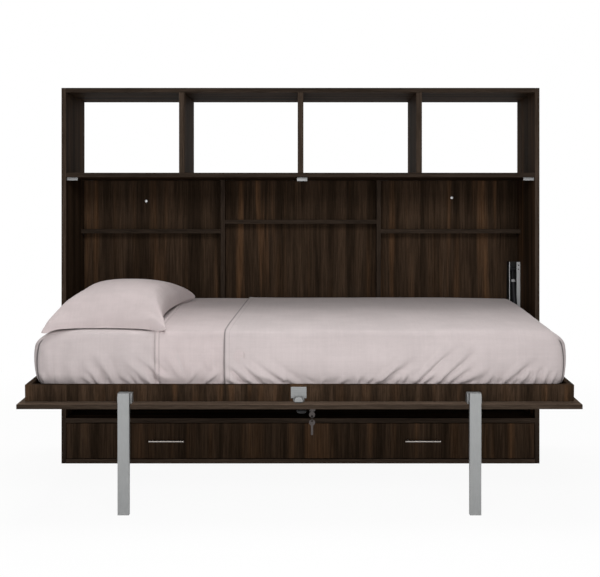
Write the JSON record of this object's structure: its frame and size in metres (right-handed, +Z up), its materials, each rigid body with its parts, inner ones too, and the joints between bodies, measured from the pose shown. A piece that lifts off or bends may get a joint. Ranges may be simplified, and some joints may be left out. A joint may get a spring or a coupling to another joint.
{
  "type": "horizontal wall bed with hutch and drawer",
  "caption": "Single wall bed that folds down sideways from a dark wood cabinet, with an open hutch above, niches behind and a wide drawer below.",
  "frame": {"origin": "centre of the underside of the cabinet's base panel", "axes": "+X to the right along the cabinet's width, +Y into the wall, +Z up"},
  "size_m": [2.04, 1.1135, 1.603],
  "materials": {
    "dark_wood": "dark brown wood-grain laminate, satin",
    "plain_wood": "unfinished beech slats",
    "zinc_plate": "zinc plated",
    "satin_steel": "light grey satin",
    "chrome": "bright plated",
    "black_metal": "black satin",
    "bed_cover": "pinkish grey beige woven cotton",
    "bed_linen": "pinkish grey beige woven cotton"
  },
  "bodies": {
    "cabinet": {"side_panel_left": "dark_wood", "side_panel_right": "dark_wood", "top_panel": "dark_wood", "hutch_shelf": "dark_wood", "base_panel": "dark_wood", "drawer_deck": "dark_wood", "hutch_divider_left": "dark_wood", "hutch_divider_middle": "dark_wood", "hutch_divider_right": "dark_wood", "back_panel": "dark_wood", "niche_divider_left": "dark_wood", "niche_divider_right": "dark_wood", "niche_shelf_left": "dark_wood", "niche_shelf_middle": "dark_wood", "niche_shelf_right": "dark_wood", "niche_floor": "dark_wood", "wall_screw_cap_left": "zinc_plate", "wall_screw_cap_right": "zinc_plate", "stop_plate_left": "zinc_plate", "stop_plate_right": "zinc_plate", "strike_plate": "zinc_plate", "pivot_bearing_left": "zinc_plate", "pivot_bearing_right": "zinc_plate", "strut_channel": "zinc_plate", "drawer_runner_left": "zinc_plate", "drawer_runner_right": "zinc_plate"},
    "bed": {"face_panel": "dark_wood", "front_rail": "dark_wood", "rear_rail": "dark_wood", "end_rail_left": "dark_wood", "end_rail_right": "dark_wood", "slatted_base": "plain_wood", "pivot_pin_left": "zinc_plate", "pivot_pin_right": "zinc_plate", "lock_case": "satin_steel", "lock_barrel": "chrome", "pull_knob": "black_metal", "leg_bracket_left": "satin_steel", "leg_bracket_right": "satin_steel", "strut_bracket": "zinc_plate", "mattress": "bed_cover", "coverlet": "bed_cover", "top_sheet": "bed_linen", "pillow": "bed_linen"},
    "left_leg": {"leg_left": "satin_steel"},
    "right_leg": {"leg_right": "satin_steel"},
    "bolt": {"lock_bolt": "satin_steel"},
    "lock_key": {"lock_plug": "chrome", "key": "chrome"},
    "hanging_key": {"spare_key": "chrome"},
    "gas_rod": {"strut_rod": "black_metal"},
    "gas_cylinder": {"strut_cylinder": "black_metal"},
    "drawer": {"drawer_front": "dark_wood", "drawer_side_left": "dark_wood", "drawer_side_right": "dark_wood", "drawer_back": "dark_wood", "drawer_bottom": "dark_wood", "drawer_handle_left": "satin_steel", "drawer_handle_right": "satin_steel"}
  },
  "joints": [
    {"name": "bed_tilt", "type": "hinge", "parent": "cabinet", "child": "bed", "pos_m": [0, -0.152, 0.446], "axis": [-1, 0, 0], "range_deg": [0, 93.5], "deforming": ["pillow"]},
    {"name": "left_leg_fold", "type": "hinge", "parent": "bed", "child": "left_leg", "pos_m": [-0.619, -0.8865, 0.39907], "axis": [-1, 0, 0], "range_deg": [-93.5, 0]},
    {"name": "right_leg_fold", "type": "hinge", "parent": "bed", "child": "right_leg", "pos_m": [0.619, -0.8865, 0.39907], "axis": [-1, 0, 0], "range_deg": [-93.5, 0]},
    {"name": "strut_swing", "type": "hinge", "parent": "cabinet", "child": "gas_rod", "pos_m": [0.9705, 0.1397, 0.815], "axis": [-1, 0, 0], "range_deg": [0, 9.33]},
    {"name": "strut_slide", "type": "slide", "parent": "gas_rod", "child": "gas_cylinder", "axis": [0, -0.3055, -0.9522], "range_m": [0, 0.2525]},
    {"name": "key_turn", "type": "hinge", "parent": "bed", "child": "lock_key", "pos_m": [0.045, -0.83536, 0.3491], "axis": [0, -0.061, 0.9981], "range_deg": [0, 90]},
    {"name": "bolt_slide", "type": "slide", "parent": "bed", "child": "bolt", "axis": [0, -0.9981, -0.061], "range_m": [0, 0.017]},
    {"name": "spare_key_swing", "type": "hinge", "parent": "lock_key", "child": "hanging_key", "pos_m": [0.045, -0.8339, 0.3252], "axis": [-1, 0, 0], "range_deg": [-93.5, 0]},
    {"name": "drawer_slide", "type": "slide", "parent": "cabinet", "child": "drawer", "axis": [0, -1, 0], "range_m": [0, 0.26]}
  ],
  "couplings": [
    {"joint": "left_leg_fold", "follows": "bed_tilt", "ratio": -1},
    {"joint": "right_leg_fold", "follows": "bed_tilt", "ratio": -1},
    {"joint": "spare_key_swing", "follows": "bed_tilt", "ratio": -1},
    {"joint": "strut_swing", "follows": "bed_tilt", "ratio": 0.099802},
    {"joint": "strut_slide", "follows": "bed_tilt", "m_per_rad": 0.15473},
    {"joint": "bolt_slide", "follows": "key_turn", "m_per_rad": 0.010186}
  ]
}
